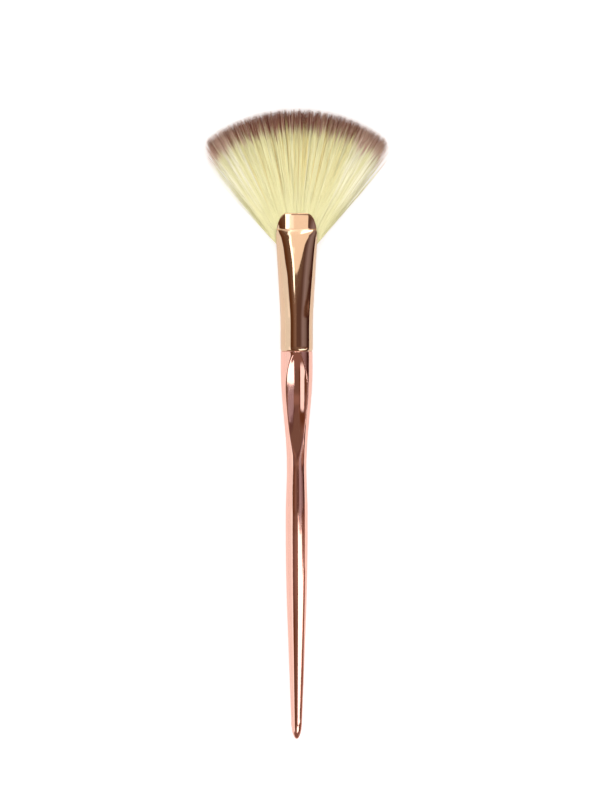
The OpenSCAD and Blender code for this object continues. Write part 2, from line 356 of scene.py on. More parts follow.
def makeHandle():
    v = handle
    tailFrom = v["length"] - v["noseLength"]
    tenonRows = np.array(
        [
            (-v["tenonLength"], v["tenonRadius"] - v["tenonChamfer"]),
            (-v["tenonLength"] + v["tenonChamfer"], v["tenonRadius"]),
            (-v["tenonLength"] / 2, v["tenonRadius"]),
            (0, v["tenonRadius"]),
        ]
    )
    roundRows = v["collarRound"] * (1 - np.cos(np.linspace(0, np.pi / 2, v["roundRows"] + 1)))[1:]
    scoopEnd = v["waistAt"] + v["scoopRowsPast"]
    scoopRows = np.arange(v["collarRound"] + v["scoopRowGap"], scoopEnd, v["scoopRowGap"])
    shankRows = np.arange(scoopEnd, tailFrom - v["shankRowGap"] / 4, v["shankRowGap"])
    bodyRows = np.concatenate([[0.0], roundRows, scoopRows, shankRows, [tailFrom]])
    noseAngles = np.linspace(0, np.pi / 2, v["noseRows"] + 1)[1:-1]
    columns = v["columns"]
    angle = np.arange(columns) / columns * 2 * np.pi
    d, turn = np.meshgrid(bodyRows, angle, indexing="ij")
    bodyGrid = scoopedRadius(handleRadius(d), d, turn)
    tenonGrid = np.repeat(tenonRows[:, 1:], columns, 1)
    noseGrid = np.repeat(v["noseRadius"] * np.cos(noseAngles)[:, None], columns, 1)
    radii = np.concatenate([tenonGrid, bodyGrid, noseGrid])
    places = np.concatenate([tenonRows[:, 0], bodyRows, tailFrom + v["noseLength"] * np.sin(noseAngles)])
    grid = np.stack(
        [radii * np.sin(angle), -np.repeat(places[:, None], columns, 1), radii * np.cos(angle)], -1
    )
    ends = np.array([[0, v["tenonLength"], 0], [0, -v["length"], 0]])
    points = np.concatenate([grid.reshape(-1, 3), ends])
    rows = len(places)
    quads = ringFaces(rows, columns, False)
    top = capFaces(0, columns, rows * columns, False)
    tip = capFaces((rows - 1) * columns, columns, rows * columns + 1, True)
    corners = np.concatenate([quads.ravel(), top.ravel(), tip.ravel()])
    sizes = np.concatenate([np.full(len(quads), 4), np.full(2 * columns, 3)])
    plating = platedMetal("rosePlating", handlePlating)
    piece = buildMesh("platedHandle", toRow(points), corners, sizes, plating)
    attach(piece, "root")
    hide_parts("handle")
    print("handle made:", len(quads) * 2 + 2 * columns, "triangles")


# Ferrule

ferrule = {
    "radius": 4.88,
    "wall": 0.4,
    "length": 41.3,
    "rimDepth": 0.28,
    "rimHeight": 1.1,
    "flatFrom": 7.0,
    "flatSoftness": 6.0,  # length over which the flattening sets in
    "creaseAt": 36.4,
    "creaseHalfWidth": 6.40,
    "creaseBlend": 0.12,  # half the length over which the lip's section takes over
    "creaseZone": 1.6,  # length below the crease with rows of its own
    "shortestLip": 0.3,
    "slowPress": 0.75,  # how much thinner the long press makes each half
    "shoulderPress": 2.1,  # and how much the round shoulder above the crease adds
    "shoulderPower": 8,
    "lipHalf": 1.5,
    "lipPanelHalf": 3.45,
    "lipCrown": 0.03,  # how much the lip's panel bulges, per mm
    "lipCorner": 35.0,  # degrees of the oval that its corner skips
    "lipEdgeHalf": 2.8,
    "mouthSide": 32.4,
    "mouthHalf": 6.178,
    "mouthPower": 2.5,
    "beadHeight": 0.05,  # faint bead along the mouth
    "beadLength": 0.45,
    "quarterColumns": 90,
    "tubeRows": 12,
    "pressedRows": 70,
    "creaseRows": 26,
    "lipRows": 26,
    "lipRowCrowding": 1.8,  # how much closer its rows lie towards the mouth
    "rimRows": 6,
    "insideRows": 40,
    "edgeSteps": 8,
}

# how square the pressed part's section is at heights along the ferrule: 2 is an oval
squareness = ((10.0, 2.0), (15.3, 2.1), (21.3, 2.2), (26.7, 2.35), (31.5, 2.5), (34.5, 2.8), (36.4, 4.2))

ferrulePlating = {
    "colour": (0.78, 0.555, 0.38),
    "cloudColour": (0.765, 0.54, 0.365),
    "cloudScale": 190,
    "roughness": 0.055,
    "roughCloud": 0.03,
    "roughHair": 0.03,
    "hairScale": 800,
    "hairStretch": 0.05,
    "rippleScale": 500,
    "rippleStretch": 0.4,
    "rippleStrength": 0.04,
    "rippleDepth": 0.0002,
}


def ferruleSizes(z):
    # half width, half thickness, squareness, and how far the lip's own section has taken over at height z
    v = ferrule
    onFlat = np.maximum(0, z - v["flatFrom"])
    soft = v["flatSoftness"]
    eased = np.where(onFlat < soft, onFlat**2 / (2 * soft), onFlat - soft / 2)
    t = eased / (v["creaseAt"] - v["flatFrom"] - soft / 2)
    halfWidth = v["radius"] + (v["creaseHalfWidth"] - v["radius"]) * t
    pressed = np.minimum(t, 1)
    half = v["radius"] - v["slowPress"] * pressed**2 - v["shoulderPress"] * pressed ** v["shoulderPower"]
    onLip = np.clip((z - v["creaseAt"]) / (v["length"] - v["creaseAt"]), 0, 1)
    half -= (v["radius"] - v["slowPress"] - v["shoulderPress"] - v["lipHalf"]) * onLip
    heights, powers = np.array(squareness).T
    power = np.interp(z, heights, powers)
    lipShare = smoothStep(v["creaseAt"] - v["creaseBlend"], v["creaseAt"] + v["creaseBlend"], z)
    return halfWidth, half, power, lipShare


def pressedSection(q, halfWidth, half, power):
    # one quarter of a rounded square, from the middle of the front (q = 0) to the side (q = 1)
    turn = q * np.pi / 2
    size = (np.sin(turn) ** power + np.cos(turn) ** power) ** (-1 / power)
    return halfWidth * np.sin(turn) * size, half * np.cos(turn) * size


def lipHeight(x, halfWidth, half, crown):
    # height of the lip over its middle plane: a panel with a slight crown, a corner, and a rounded side
    v = ferrule
    flat = v["lipPanelHalf"]
    skip = math.radians(v["lipCorner"])
    reach = (halfWidth - flat) / (1 - math.sin(skip))
    turned = np.clip((x - flat) / reach + math.sin(skip), math.sin(skip), 1)
    rise = (half - crown * flat**2 / 2) / math.cos(skip)
    return np.where(x < flat, half - crown * x**2 / 2, rise * np.sqrt(1 - turned**2))


def sectionPoint(q, z):
    halfWidth, half, power, lipShare = ferruleSizes(z)
    x, pressedH = pressedSection(q, halfWidth, half, power)
    lipH = lipHeight(x, halfWidth, half, ferrule["lipCrown"])
    return x, pressedH + (lipH - pressedH) * lipShare


def ferrulePoint(q, z, inset):
    # a point of one quarter of the section, and the direction that faces out of it
    x, h = sectionPoint(q, z)
    gap = 0.0005
    ahead = sectionPoint(np.minimum(q + gap, 1), z)
    behind = sectionPoint(np.maximum(q - gap, 0), z)
    alongX = ahead[0] - behind[0]
    alongH = ahead[1] - behind[1]
    size = np.hypot(alongX, alongH)
    normalX = np.where(q == 0, 0, np.where(q == 1, 1, -alongH / size))
    normalH = np.where(q == 0, 1, np.where(q == 1, 0, alongX / size))
    return x - inset * normalX, h - inset * normalH, normalX, normalH


def mouthHeight(x):
    # height of the ferrule's open end over x: high in the middle, low at the two sides
    v = ferrule
    u = np.clip((np.abs(x) - v["lipEdgeHalf"]) / (v["mouthHalf"] - v["lipEdgeHalf"]), 0, 1)
    power = v["mouthPower"]
    return v["mouthSide"] + (v["length"] - v["mouthSide"]) * (1 - u**power) ** (1 / power)


def mouthEnds(q):
    # height at which each column of the wall ends
    lowest = np.full_like(q, ferrule["mouthSide"] - 1)
    highest = np.full_like(q, ferrule["length"])
    return halve(lowest, highest, lambda z: z < mouthHeight(ferrulePoint(q, z, 0)[0]))


def makeFerrule():
    v = ferrule
    q = np.linspace(0, 1, v["quarterColumns"] + 1)
    half = v["wall"] / 2
    ends = mouthEnds(q) - half
    lipStart = np.minimum(v["creaseAt"], ends - v["shortestLip"])
    pressedTo = v["creaseAt"] - v["creaseZone"]
    tube = np.linspace(v["rimHeight"], v["flatFrom"], v["tubeRows"] + 1)
    pressed = np.linspace(v["flatFrom"], pressedTo, v["pressedRows"] + 1)[1:]
    crease = np.linspace(pressedTo, v["creaseAt"], v["creaseRows"] + 1)[1:]
    shares = np.concatenate([tube, pressed, crease])
    shares = (shares - v["rimHeight"]) / (v["creaseAt"] - v["rimHeight"])
    loop = []

    def addRow(z, inset, drop=0):
        x, h, normalX, normalH = ferrulePoint(q, z, inset)
        loop.append((x - drop * normalX, h - drop * normalH, z))

    for turn in np.linspace(0, np.pi / 2, v["rimRows"] + 1)[:-1]:  # rolled rim at the handle
        z = v["rimHeight"] * (1 - math.cos(turn))
        addRow(np.full_like(q, z), 0, v["rimDepth"] * (1 - math.sin(turn)))
    for share in shares:
        addRow(v["rimHeight"] + (lipStart - v["rimHeight"]) * share, 0)
    for share in 1 - (1 - np.linspace(0, 1, v["lipRows"] + 1)[1:]) ** v["lipRowCrowding"]:
        z = lipStart + (ends - lipStart) * share
        addRow(z, -v["beadHeight"] * smoothStep(-v["beadLength"], 0, z - ends))
    x, h, normalX, normalH = ferrulePoint(q, ends, half)
    for turn in np.linspace(np.pi / 2, -np.pi / 2, v["edgeSteps"] + 1)[1:-1]:  # rounded edge of the mouth
        out = half * math.sin(turn)
        loop.append((x + out * normalX, h + out * normalH, ends + half * math.cos(turn)))
    for share in np.linspace(1, 0, v["insideRows"] + 1):
        addRow(ends * share, v["wall"])
    quarter = np.array(loop)  # rows, (x, h, z), columns of one quarter
    x, h, z = quarter[:, 0], quarter[:, 1], quarter[:, 2]
    around = [
        (x[:, :-1], h[:, :-1], z[:, :-1]),
        (x[:, :0:-1], -h[:, :0:-1], z[:, :0:-1]),
        (-x[:, :-1], -h[:, :-1], z[:, :-1]),
        (-x[:, :0:-1], h[:, :0:-1], z[:, :0:-1]),
    ]
    x, h, z = (np.concatenate([part[i] for part in around], 1) for i in range(3))
    grid = np.stack([x, z, h], -1)
    rows, columns = x.shape
    quads = ringFaces(rows, columns, True)[:, ::-1]
    piece = buildMesh(
        "pressedFerrule",
        toRow(grid.reshape(-1, 3)),
        quads.ravel(),
        np.full(len(quads), 4),
        platedMetal("champagnePlating", ferrulePlating),
    )
    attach(piece, "root")
    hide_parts("ferrule")
    print("ferrule made:", len(quads) * 2, "triangles")


# Bristles

bristles = {
    "count": 16000,
    "locks": 480,
    "apex": 27.017,
    "fanRadius": 45.0,
    "halfAngle": 41.5,
    "rootAt": 31.0,
    "rootApex": 24.6,  # where the two sides of the fan meet, as they leave the ferrule
    "rootAngle": 38.8,
    "spread": 0.90,  # share of the half angle that is full of bristles
    "sideShare": 0.032,  # share of the bristles that thin out beyond it
    "sideFade": 0.03,  # over about this share of the half angle
    "widest": 1.05,
    "cornerShare": 0.8,
    "cornerDrop": 1.8,
    "cornerPower": 2.0,
    "rootHalf": 1.7,  # half thickness of the fan inside the ferrule
    "bodyHalf": 1.3,
    "tipHalf": 1.05,
    "rootOver": 0.5,  # how much more room the roots may take than the exit has
    "thinFrom": 4.0,  # how far past the ferrule the fan begins to thin out towards its tips
    "edgeWidth": 0.93,  # the thinning towards its two sides: how wide, how sudden, and the least left
    "edgePower": 4,
    "edgeLeast": 0.05,
    "fillShare": 0.88,  # share of the ferrule's inside that they fill
    "lookAhead": 0.5,  # how soon they give way to the narrower part ahead
    "openOver": 9.0,  # how far past the mouth the fan has its full thickness
    "radius": 0.075,
    "tipRadius": 0.012,
    "taperFrom": 0.6,  # share of its length from which a bristle tapers
    "thinnest": 0.6,
    "thickSpread": 0.25,
    "lockSpan": 6.0,  # a bristle goes to a lock in its own layer up to about this many locks away
    "gather": 0.8,  # how far each bristle leans towards its lock's middle at the tip
    "leastGather": 0.3,
    "gatherPower": 1.7,
    "layerGather": 0.7,
    "tipScatter": 0.004,
    "bow": 0.16,
    "wave": 0.06,
    "lift": 0.08,
    "longest": 1.45,  # how far the longest tips stand over the fan's outline
    "lengthSpread": 0.62,
    "lockLengthSpread": 0.22,
    "strays": 0.07,
    "strayReach": 1.3,
    "strayScatter": 0.03,
    "ownTint": 0.5,  # how much of its tint a bristle has alone, and not with its lock
    "dyeLength": 5.75,
    "dyeSpread": 0.5,
    "lockDyeSpread": 0.75,
    "undyed": 0.08,  # share of bristles with much less dye
    "undyedBy": 3.0,
    "leastDye": 0.3,
    # paler and whiter towards the fan's two sides: partly the bristles' own paler tone, partly painted
    # light that lifts the shade among the sparse side bristles
    "paleAndLitSides": 0.45,  # how much paler they are towards the fan's two sides
    "palerFrom": 0.3,
    "seed": 7,
}

bristleLook = {
    "tips": (0.29, 0.112, 0.072),
    "tipsDark": (0.11, 0.03, 0.018),
    "tipsPale": (0.66, 0.44, 0.34),
    "body": (0.80, 0.785, 0.455),
    "bodyPale": (0.91, 0.90, 0.64),
    # painted light: a near-white tone that lifts the shaded side bristles and gives a few strands a
    # painted highlight
    "bodyWhiteLit": (0.95, 0.94, 0.76),
    "bodyGold": (0.76, 0.66, 0.28),
    # darkest streak tone: partly the strands' own gold, partly painted shade between strands
    "shadedStreak": (0.52, 0.39, 0.16),
    "dyeFade": 1.3,  # half the length over which the dye fades
    "evenFrom": 0.35,  # streaks run out between these two heights of the map
    "evenTo": 0.6,
    "leastStreak": 0.05,
    "specular": 0.3,
    "roughness": 0.5,
    "roughGrain": 0.12,
    "grainScale": 40,
}

# which of these colours a bristle has at its tip and along its body, by its tint; the darker body tones
# are partly painted shade between strands, and the whitest is painted light
tipStops = ((0.18, "tipsDark"), (0.4, "tips"), (0.56, "tips"), (0.8, "tipsPale"))
bodyStops = (
    (0.03, "shadedStreak"),
    (0.25, "bodyGold"),
    (0.45, "body"),
    (0.75, "body"),
    (0.9, "bodyPale"),
    (1.0, "bodyWhiteLit"),
)

# where a bristle has its rings: at its root, where it leaves the ferrule, and at these shares of the rest
freeStops = np.array([0.17, 0.37, 0.57, 0.76, 0.9, 1.0])
bristleRings = len(freeStops) + 1
bristleSides = 3
exitAbout = 0.2  # share of its length at which a bristle leaves the ferrule, more or less

# the map holds a bristle's tint across, and upwards how far each point is from the tip
longestBristle = 46.0
mapMargin = 0.02
mapWidth = 0.95
mapHeight = 0.96
mapSide = 0.003  # width of one side of a bristle


def insideHeight(x, z):
    # room over the middle plane inside the ferrule
    v = ferrule
    halfWidth, half, power, lipShare = ferruleSizes(z)
    halfWidth = halfWidth - v["wall"]
    half = half - v["wall"]
    across = np.minimum(np.abs(x), halfWidth)
    pressed = half * (1 - (across / halfWidth) ** power) ** (1 / power)
    return pressed + (lipHeight(across, halfWidth, half, 0) - pressed) * lipShare


def bristlePaths(rng):
    # for each bristle: its points from root to tip, how far each is past the dye, its angle and its tint
    v = bristles
    locks = v["locks"]
    lockU = ((np.arange(locks) + rng.uniform(0, 1, locks)) / locks * 2 - 1) * v["widest"]
    lockLayer = rng.uniform(-1, 1, locks)
    lockShort = rng.gamma(2, v["lockLengthSpread"], locks)
    lockTint = rng.uniform(0, 1, locks)
    lockDye = rng.normal(0, v["lockDyeSpread"], locks)
    count = v["count"]
    u = rng.uniform(-1, 1, count) * v["spread"]
    beside = v["spread"] + rng.exponential(v["sideFade"], count)
    u = np.where(rng.uniform(0, 1, count) < v["sideShare"] / 2, np.sign(u) * beside, u)
    u = np.clip(u, -v["widest"], v["widest"])
    layer = rng.uniform(-1, 1, count)
    # the nearest lock, by angle first and by layer within it
    gapU = np.abs(u[:, None] - lockU[None]) * locks / v["lockSpan"]
    gapLayer = np.abs(layer[:, None] - lockLayer[None])
    own = np.argmin(gapU + gapLayer, 1)
    pull = v["gather"] * rng.uniform(v["leastGather"], 1, count)
    tipU = u + (lockU[own] - u) * pull + rng.normal(0, v["tipScatter"], count)
    stray = rng.uniform(0, 1, count) < v["strays"]
    tipU += np.where(stray, rng.normal(0, v["strayScatter"], count), 0)
    tipU = np.clip(tipU, -v["widest"], v["widest"])
    corner = v["cornerDrop"] * (
        np.maximum(0, (np.abs(tipU) - v["cornerShare"]) / (1 - v["cornerShare"])) ** v["cornerPower"]
    )
    shorter = rng.gamma(2, v["lengthSpread"], count)
    reach = v["fanRadius"] + v["longest"] - corner - shorter - lockShort[own]
    reach += np.where(stray, rng.uniform(0, v["strayReach"], count), 0)
    tipAngle = np.radians(v["halfAngle"]) * tipU
    rootX = (v["rootAt"] - v["rootApex"]) * np.tan(np.radians(v["rootAngle"]) * np.clip(u, -1, 1))
    straightX = reach * np.sin(np.radians(v["halfAngle"]) * u)
    gathered = reach * (np.sin(tipAngle) - np.sin(np.radians(v["halfAngle"]) * u))
    tipS = v["apex"] + reach * np.cos(tipAngle)

    def placeAt(share):
        return rootX + (straightX - rootX) * share, v["rootAt"] + (tipS - v["rootAt"]) * share

    def isInFerrule(share):
        atX, atS = placeAt(share)
        return atS < mouthHeight(atX)

    # share of its length at which each bristle leaves the ferrule
    exitShare = halve(np.zeros(count), np.full(count, 0.5), isInFerrule)
    exitX, exitS = placeAt(exitShare)
    free = exitShare[:, None] + (1 - exitShare[:, None]) * freeStops
    share = np.concatenate([np.zeros((count, 1)), exitShare[:, None], free], 1)
    x = rootX[:, None] + (straightX - rootX)[:, None] * share
    x = x + gathered[:, None] * share ** v["gatherPower"]
    s = v["rootAt"] + (tipS - v["rootAt"])[:, None] * share
    bow = rng.normal(0, v["bow"], count)[:, None] * np.sin(np.pi * share)
    wave = rng.normal(0, v["wave"], count)[:, None] * np.sin(2 * np.pi * share)
    x = x + (bow + wave) * np.cos(tipAngle)[:, None]
    s = s - (bow + wave) * np.sin(tipAngle)[:, None]
    # thickness of the fan along it, within the ferrule and thinner towards its two sides
    fanEdge = v["apex"] + v["fanRadius"]
    towardsTip = smoothStep(ferrule["length"] + v["thinFrom"], fanEdge, s)
    freeHalf = v["bodyHalf"] + (v["tipHalf"] - v["bodyHalf"]) * towardsTip
    edge = np.sqrt(np.clip(1 - (np.abs(u) * v["edgeWidth"]) ** v["edgePower"], v["edgeLeast"], 1))
    rootRoom = np.minimum(v["fillShare"] * insideHeight(rootX, v["rootAt"] + 0 * rootX), v["rootHalf"])
    exitRoom = v["fillShare"] * insideHeight(exitX, np.minimum(exitS + v["lookAhead"], ferrule["length"]))
    out = smoothStep(0, v["openOver"], s - exitS[:, None])
    half = exitRoom[:, None] + (freeHalf * edge[:, None] - exitRoom[:, None]) * out
    half[:, 0] = np.minimum(rootRoom, exitRoom + v["rootOver"])
    level = layer[:, None] + ((lockLayer[own] - layer) * pull * v["layerGather"])[:, None] * share
    h = level * half + rng.normal(0, v["lift"], count)[:, None] * share**2
    paths = np.stack([x, s, h], -1)
    lengths = np.hypot(straightX + gathered - rootX, tipS - v["rootAt"])
    tint = v["ownTint"] * rng.uniform(0, 1, count) + (1 - v["ownTint"]) * lockTint[own]
    # paler towards the sides: partly the bristles' own tone, partly painted light against the shade among
    # the sparse side bristles
    tint = np.clip(tint + v["paleAndLitSides"] * smoothStep(v["palerFrom"], 1, np.abs(u)), 0, 1)
    dye = v["dyeLength"] + rng.normal(0, v["dyeSpread"], count) + lockDye[own]
    dye -= np.where(rng.uniform(0, 1, count) < v["undyed"], v["undyedBy"], 0)
    # distance from the dye line, moved to where it is in the material
    past = lengths[:, None] * (1 - share) - np.maximum(v["leastDye"], dye)[:, None] + v["dyeLength"]
    return paths, past, u, tint


def makeBristlePiece(name, paths, past, tint, roll, thick, material):
    v = bristles
    count = len(paths)
    tangent = np.gradient(paths, axis=1)
    tangent /= np.linalg.norm(tangent, axis=2, keepdims=True)
    sideways = np.cross(tangent, np.array([0.0, 0.0, 1.0]))
    sideways /= np.linalg.norm(sideways, axis=2, keepdims=True)
    upward = np.cross(sideways, tangent)
    turns = roll[:, None] + np.arange(bristleSides) / bristleSides * 2 * np.pi
    along = np.concatenate([[0, exitAbout], exitAbout + (1 - exitAbout) * freeStops[:-1]])
    width = v["radius"] + (v["tipRadius"] - v["radius"]) * smoothStep(v["taperFrom"], 1.0, along)
    radius = thick[:, None] * width[None, :]
    ring = paths[:, :bristleRings, None, :]
    ring = ring + radius[..., None, None] * (
        np.cos(turns)[:, None, :, None] * sideways[:, :bristleRings, None, :]
        + np.sin(turns)[:, None, :, None] * upward[:, :bristleRings, None, :]
    )
    ring = ring.reshape(count, bristleRings * bristleSides, 3)
    points = np.concatenate([ring, paths[:, bristleRings:]], 1)
    perBristle = bristleRings * bristleSides + 1
    faces, sides, rows = [], [], []
    for r in range(bristleRings - 1):
        for c in range(bristleSides):
            cNext = (c + 1) % bristleSides
            low, high = r * bristleSides, (r + 1) * bristleSides
            faces.append([low + c, low + cNext, high + cNext, high + c])
            sides.append([c, c + 1, c + 1, c])
            rows.append([r, r, r + 1, r + 1])
    last = (bristleRings - 1) * bristleSides
    for c in range(bristleSides):
        faces.append([last + c, last + (c + 1) % bristleSides, perBristle - 1])
        sides.append([c, c + 1, c + 0.5])
        rows.append([bristleRings - 1, bristleRings - 1, bristleRings])
    rootFace = list(range(bristleSides))[::-1]
    faces.append(rootFace)
    sides.append(rootFace)
    rows.append([0] * bristleSides)
    template = np.concatenate([np.array(f) for f in faces])
    sizes = np.tile([len(f) for f in faces], count)
    corners = (template[None] + np.arange(count)[:, None] * perBristle).ravel()
    piece = buildMesh(name, toRow(points.reshape(-1, 3)), corners, sizes, material)
    across = np.concatenate([np.array(s, float) for s in sides])
    upwards = np.concatenate([np.array(r) for r in rows])
    mapU = mapMargin + mapWidth * tint[:, None] + across[None] * mapSide
    mapV = (past[:, upwards] / longestBristle).clip(0, 1) * mapHeight + mapMargin
    layer = piece.data.uv_layers.new(name="OFBake")
    layer.uv.foreach_set("vector", np.stack([mapU, mapV], -1).astype(np.float32).ravel())
    return piece


def bristleMaterial():
    look = bristleLook
    material, tree, shader = newMaterial("softBristle", 0.0, look["roughness"])
    shader.inputs["Specular IOR Level"].default_value = look["specular"]
    place = addNode(tree, "ShaderNodeUVMap", uv_map="OFBake").outputs[0]
    split = addNode(tree, "ShaderNodeSeparateXYZ")
    tree.links.new(place, split.inputs[0])
    tint, fromTip = split.outputs[0], split.outputs[1]
    ramps = []
    for stops in (tipStops, bodyStops):
        ramp = addNode(tree, "ShaderNodeValToRGB")
        fillRamp(ramp, [(position, look[colour]) for position, colour in stops])
        tree.links.new(tint, ramp.inputs[0])
        ramps.append(ramp.outputs[0])
    brown, shades = ramps
    # streaks, partly painted shade between strands, run out towards the ferrule, where the bristles lie
    # close together
    streaked = addRange(tree, fromTip, look["evenFrom"], look["evenTo"], 1, look["leastStreak"])
    yellow = mixColours(tree, streaked, look["body"], shades)
    dyeLine = mapMargin + mapHeight * bristles["dyeLength"] / longestBristle
    fade = mapHeight * look["dyeFade"] / longestBristle
    undyed = addRange(tree, fromTip, dyeLine - fade, dyeLine + fade, 0, 1)
    colour = mixColours(tree, undyed, brown, yellow)
    tree.links.new(colour, shader.inputs["Base Color"])
    grain = addNoise(tree, place, look["grainScale"], 2)
    roughest = look["roughness"] + look["roughGrain"]
    rough = addRange(tree, grain, *noiseRanges["roughness"], look["roughness"], roughest)
    tree.links.new(rough, shader.inputs["Roughness"])
    return material


def makeBristles():
    v = bristles
    rng = np.random.default_rng(v["seed"])
    paths, past, u, tint = bristlePaths(rng)
    roll = rng.uniform(0, 2 * np.pi, v["count"])
    thick = v["thinnest"] + rng.gamma(2, v["thickSpread"], v["count"])
    material = bristleMaterial()
    order = np.argsort(u, kind="stable")
    names = ("bristlesLeft", "bristlesMidLeft", "bristlesMidRight", "bristlesRight")
    for name, part in zip(names, np.array_split(order, len(names))):
        mine = (values[part] for values in (paths, past, tint, roll, thick))
        piece = makeBristlePiece(name, *mine, material)
        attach(piece, "root")
        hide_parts("bristle_fan")
        print(name, "made:", len(part), "bristles")


# Glue that holds the bristles' roots

glueLook = {
    "clear": (0.62, 0.42, 0.16),
    "cloudy": (0.76, 0.62, 0.36),
    "cloudScale": 400,
    "roughness": 0.35,
    "bumpScale": 900,
    "bumpStrength": 0.3,
    "bumpDepth": 0.0003,
}


def dressGlue():
    look = glueLook
    material, tree, shader = newMaterial("amberGlue", 0.0, look["roughness"])
    place = addNode(tree, "ShaderNodeTexCoord").outputs["Object"]
    cloud = addNoise(tree, place, look["cloudScale"], 4)
    cloudiness = addRange(tree, cloud, *noiseRanges["colour"], 0, 1)
    colour = mixColours(tree, cloudiness, look["clear"], look["cloudy"])
    tree.links.new(colour, shader.inputs["Base Color"])
    uneven = addNoise(tree, place, look["bumpScale"], 3)
    addBump(tree, shader, uneven, look["bumpStrength"], look["bumpDepth"])
    glue = frame["nodes"]["glue_plug"]
    glue.data.materials.clear()
    glue.data.materials.append(material)
    print("glue dressed")


# Studio: a white table, a half-dark room and soft lamps, with sizes in metres

studio = {
    "tableSide": 8.0,
    "tableColour": (0.76, 0.76, 0.76),
    "tableRoughness": 0.9,
    "seenGlow": 0.45,  # how much white is added to what the camera sees of the table
    "mirroredGlow": 0.08,  # and to what the metal sees
    "farGlow": 1.0,
    "glowTurn": (0.3, 1.5),  # both turn into the far glow between these distances
    "fillHeight": 1.6,
    "fillSize": 2.4,
    "fillRadiance": 1.5,
    "restTilt": 0.025,  # slope of the brush's axis as it lies
    "cardHeight": 0.219,
    "flagAt": 0.048,
    "cameraHeight": 1.2,
    "frameHeight": 0.24,
    "frameMiddle": (0.001, 0.00765, 0.005),
    "sensor": 36,  # millimetres
}


def makeSheet(name, corners):
    mesh = bpy.data.meshes.new(name)
    mesh.from_pydata(corners, [], [tuple(range(len(corners)))])
    sheet = bpy.data.objects.new(name, mesh)
    bpy.context.scene.collection.objects.link(sheet)
    return sheet


def makeTable():
    side = studio["tableSide"] / 2
    table = makeSheet("table", [(-side, -side, 0), (side, -side, 0), (side, side, 0), (-side, side, 0)])
    material, tree, shader = newMaterial("whiteTable", 0.0, studio["tableRoughness"])
    shader.inputs["Base Color"].default_value = (*studio["tableColour"], 1)
    shader.inputs["Specular IOR Level"].default_value = 0.0
    shader.inputs["Emission Color"].default_value = (1, 1, 1, 1)
    rays = addNode(tree, "ShaderNodeLightPath").outputs
    mirrored = addMath(tree, "MAXIMUM", rays["Is Glossy Ray"], rays["Is Transmission Ray"])
    place = addNode(tree, "ShaderNodeTexCoord").outputs["Object"]
    length = addNode(tree, "ShaderNodeVectorMath", operation="LENGTH")
    tree.links.new(place, length.inputs[0])
    glows = []
    away = length.outputs["Value"]
    for seenBy, near in ((rays["Is Camera Ray"], "seenGlow"), (mirrored, "mirroredGlow")):
        glow = addRange(tree, away, *studio["glowTurn"], studio[near], studio["farGlow"])
        glows.append(addMath(tree, "MULTIPLY", seenBy, glow))
    tree.links.new(addMath(tree, "ADD", *glows), shader.inputs["Emission Strength"])
    table.data.materials.append(material)


# The room round the table: bright on the left, half dark on the right. Each part of the brush mirrors
# its own side of it. Angles are in degrees from straight overhead, towards the right where positive.
tones = {
    "deepBrown": (0.13, 0.05, 0.02),
    "umber": (0.17, 0.09, 0.055),
    "brown": (0.185, 0.118, 0.09),
    "warmBrown": (0.30, 0.19, 0.15),
    "plum": (0.13, 0.07, 0.06),
    "greyPlum": (0.34, 0.27, 0.31),
    "tan": (0.27, 0.21, 0.22),
    "redBrown": (0.32, 0.18, 0.14),
    "nearBlack": (0.05, 0.015, 0.012),
}
room = {
    "ferruleSide": (
        (-44, "deepBrown"),
        (-30, "deepBrown"),
        (-9, "warmBrown"),
        (4, "plum"),
        (26, "plum"),
        (44, "greyPlum"),
        (64, "tan"),
        (84, "nearBlack"),
    ),
    "waistSide": (
        (-44, "deepBrown"),
        (-26, "deepBrown"),
        (-8, "brown"),
        (30, "brown"),
        (56, "deepBrown"),
        (80, "nearBlack"),
    ),
    "fanSide": (
        (-44, "deepBrown"),
        (-36, "deepBrown"),
        (-26, "umber"),
        (-12, "brown"),
        (12, "brown"),
        (26, "plum"),
        (44, "greyPlum"),
        (64, "tan"),
        (84, "nearBlack"),
    ),
    "tipSide": ((-44, "plum"), (-4, "warmBrown"), (50, "warmBrown"), (84, "redBrown")),
    # where one side turns into the next, by how far the direction leans towards the fan
    "waistTurn": (-0.034, -0.026),
    "tipTurn": (-0.060, -0.050),
    "tipTurnBack": (-0.15, -0.12),
    "fanTurn": (0.02, 0.05),
    "bright": 1.0,
    "brightStrip": 0.27,  # how much brighter the light is beside its edge, as the handle mirrors it
    "stripFade": (10, 20),
    "leftEdge": 44.0,  # where the bright left side begins
    "leftEdgeBlend": 1.5,
    "leftEdgeBack": 6.0,  # how much further down it begins on the fan's side
    "leftEdgeTurn": (0.01, 0.04),
    "handleEnd": (0.24, 0.14, 0.11),
    "handleEndTurn": (-0.42, -0.5),
    "fanEnd": (1.0, 0.9, 0.84),
    "fanEndTurn": (0.8, 0.9),
}


def roomTones(tree, across, stops):
    ramp = addNode(tree, "ShaderNodeValToRGB")
    fillRamp(ramp, [((angle + 90) / 180, tones[tone]) for angle, tone in stops])
    tree.links.new(addRange(tree, across, -90, 90, 0, 1), ramp.inputs[0])
    return ramp.outputs[0]


